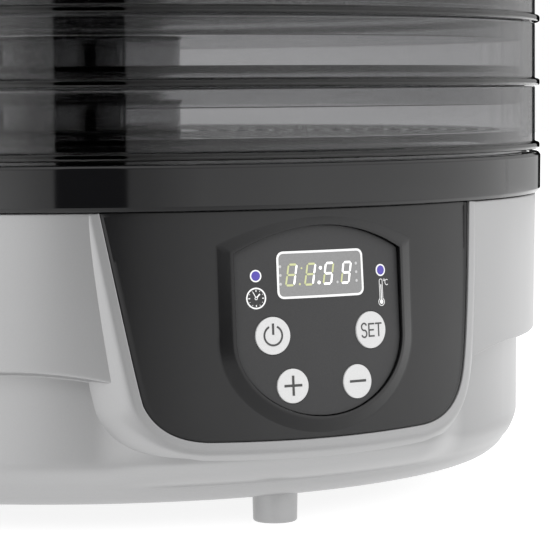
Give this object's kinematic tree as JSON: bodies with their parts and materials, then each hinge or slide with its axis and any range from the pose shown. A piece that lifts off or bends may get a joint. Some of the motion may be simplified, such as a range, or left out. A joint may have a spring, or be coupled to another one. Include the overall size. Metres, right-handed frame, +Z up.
{
  "type": "food and filament dryer",
  "caption": "Round electric dryer: silver fan-and-heater base on short feet, black control panel with display and push buttons, stacking smoky see-through trays and a domed vented lid.",
  "frame": {"origin": "centre of the footprint, on the plane that the feet stand on", "axes": "+Z up through the tray stack, -Y towards the control panel, +X to the right when facing the panel"},
  "size_m": [0.33, 0.3306, 0.2539],
  "materials": {
    "silver_plastic": "satin silver-grey moulded plastic",
    "black_plastic": "satin to gloss black",
    "overlay_plastic": "fine matt black overlay",
    "smoky_plastic": "clear smoky grey",
    "white_plastic": "white with black printed symbols",
    "lamp_plastic": "violet-blue indicator lens",
    "display_glass": "grey display window",
    "dark_component": "moulded component",
    "circuit_board": "green laminate",
    "coil_component": "taped winding",
    "mica": "layered heat-proof board",
    "duct_metal": "plain rolled sheet",
    "steel": "plated",
    "motor_steel": "pressed can"
  },
  "bodies": {
    "base": {"lower_housing": "silver_plastic", "bottom_cover": "black_plastic", "cover_screw_1": "steel", "cover_screw_2": "steel", "cover_screw_3": "steel", "cover_screw_4": "steel", "foot_front": "silver_plastic", "foot_right": "silver_plastic", "foot_rear": "silver_plastic", "foot_left": "silver_plastic", "deck": "black_plastic", "outlet_grille": "black_plastic", "fascia": "black_plastic", "control_plate": "overlay_plastic", "display_window": "display_glass", "display_module": "dark_component", "lamp_timer": "lamp_plastic", "lamp_heat": "lamp_plastic", "control_board": "circuit_board", "switch_power": "dark_component", "switch_set": "dark_component", "switch_plus": "dark_component", "switch_minus": "dark_component", "air_duct": "duct_metal", "motor_bracket": "steel", "fan_motor": "motor_steel", "heater_frame": "mica", "heater_coil": "steel", "thermal_fuse": "white_plastic", "temperature_probe": "steel", "power_board": "circuit_board", "relay": "dark_component", "transformer": "coil_component", "cord_gland": "black_plastic"},
    "fan_rotor": {"fan": "dark_component", "motor_shaft": "steel"},
    "button_power": {"button_power": "white_plastic"},
    "button_set": {"button_set": "white_plastic"},
    "button_plus": {"button_plus": "white_plastic"},
    "button_minus": {"button_minus": "white_plastic"},
    "tray_1": {"tray_1": "smoky_plastic"},
    "tray_2": {"tray_2": "smoky_plastic"},
    "tray_3": {"tray_3": "smoky_plastic"},
    "tray_4": {"tray_4": "smoky_plastic"},
    "tray_5": {"tray_5": "smoky_plastic"},
    "lid": {"lid": "smoky_plastic"}
  },
  "joints": [
    {"name": "fan_spin", "type": "hinge", "parent": "base", "child": "fan_rotor", "pos_m": [0, 0, 0.05], "axis": [0, 0, 1], "continuous": true},
    {"name": "button_power_press", "type": "slide", "parent": "base", "child": "button_power", "axis": [0.111, 0.9915, -0.0682], "range_m": [0, 0.0006], "stiffness_N_per_m": 1500, "springref_m": -0.0003},
    {"name": "button_set_press", "type": "slide", "parent": "base", "child": "button_set", "axis": [-0.111, 0.9915, -0.0682], "range_m": [0, 0.0006], "stiffness_N_per_m": 1500, "springref_m": -0.0003},
    {"name": "button_plus_press", "type": "slide", "parent": "base", "child": "button_plus", "axis": [0.0727, 0.995, -0.0682], "range_m": [0, 0.0006], "stiffness_N_per_m": 1500, "springref_m": -0.0003},
    {"name": "button_minus_press", "type": "slide", "parent": "base", "child": "button_minus", "axis": [-0.0727, 0.995, -0.0682], "range_m": [0, 0.0006], "stiffness_N_per_m": 1500, "springref_m": -0.0003},
    {"name": "tray_1_lift", "type": "slide", "parent": "base", "child": "tray_1", "axis": [0, 0, 1], "range_m": [0, 0.04]},
    {"name": "tray_2_lift", "type": "slide", "parent": "tray_1", "child": "tray_2", "axis": [0, 0, 1], "range_m": [0, 0.04]},
    {"name": "tray_3_lift", "type": "slide", "parent": "tray_2", "child": "tray_3", "axis": [0, 0, 1], "range_m": [0, 0.04]},
    {"name": "tray_4_lift", "type": "slide", "parent": "tray_3", "child": "tray_4", "axis": [0, 0, 1], "range_m": [0, 0.04]},
    {"name": "tray_5_lift", "type": "slide", "parent": "tray_4", "child": "tray_5", "axis": [0, 0, 1], "range_m": [0, 0.04]},
    {"name": "lid_lift", "type": "slide", "parent": "tray_5", "child": "lid", "axis": [0, 0, 1], "range_m": [0, 0.04]}
  ]
}
